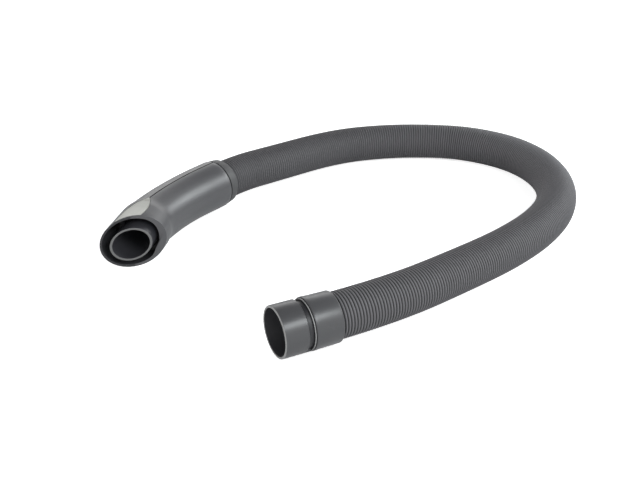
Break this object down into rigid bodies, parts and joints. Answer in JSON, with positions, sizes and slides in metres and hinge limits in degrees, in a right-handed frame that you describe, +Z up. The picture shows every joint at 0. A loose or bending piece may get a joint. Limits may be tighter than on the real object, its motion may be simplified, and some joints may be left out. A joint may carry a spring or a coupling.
{
  "type": "vacuum hose",
  "caption": "Ribbed suction hose lying in an open loop, with a bent hand grip that swivels on one end and a round machine cuff that swivels on the other.",
  "frame": {"origin": "on the floor, under the centre of the box round the hand grip and the machine cuff", "axes": "+Z up from the floor that the set lies on; the grip's mouth faces -Y; the hose loops away towards +Y and +X"},
  "size_m": [0.4233, 0.4657, 0.0508],
  "materials": {
    "hose_plastic": "matte, ribbed",
    "grip_plastic": "satin",
    "inlay_plastic": "satin",
    "duct_plastic": "satin",
    "collar_plastic": "matte",
    "cuff_plastic": "satin",
    "ring_plastic": "satin",
    "inner_plastic": "moulded",
    "seal_rubber": "soft",
    "screw_steel": "plated"
  },
  "bodies": {
    "hose_set": {"hose": "hose_plastic", "hose_end_sleeve": "inner_plastic", "sleeve_seal": "seal_rubber", "swivel_collar": "collar_plastic", "cuff_collar": "cuff_plastic", "cuff_ring": "ring_plastic", "hose_insert": "inner_plastic", "spigot_seal": "seal_rubber"},
    "grip": {"handle_outer_shell": "grip_plastic", "handle_inner_shell": "grip_plastic", "upper_inlay": "inlay_plastic", "lower_inlay": "inlay_plastic", "wand_duct": "duct_plastic", "duct_seal": "seal_rubber", "shell_screws": "screw_steel"},
    "spigot": {"cuff_spigot": "cuff_plastic"}
  },
  "joints": [
    {"name": "grip_swivel", "type": "hinge", "parent": "hose_set", "child": "grip", "pos_m": [-0.06724, 0.10597, 0.0254], "axis": [0.447, 0.8945, 0], "continuous": true},
    {"name": "cuff_swivel", "type": "hinge", "parent": "hose_set", "child": "spigot", "pos_m": [0.06471, -0.12764, 0.0218], "axis": [0.7853, 0.6191, 0], "continuous": true}
  ]
}
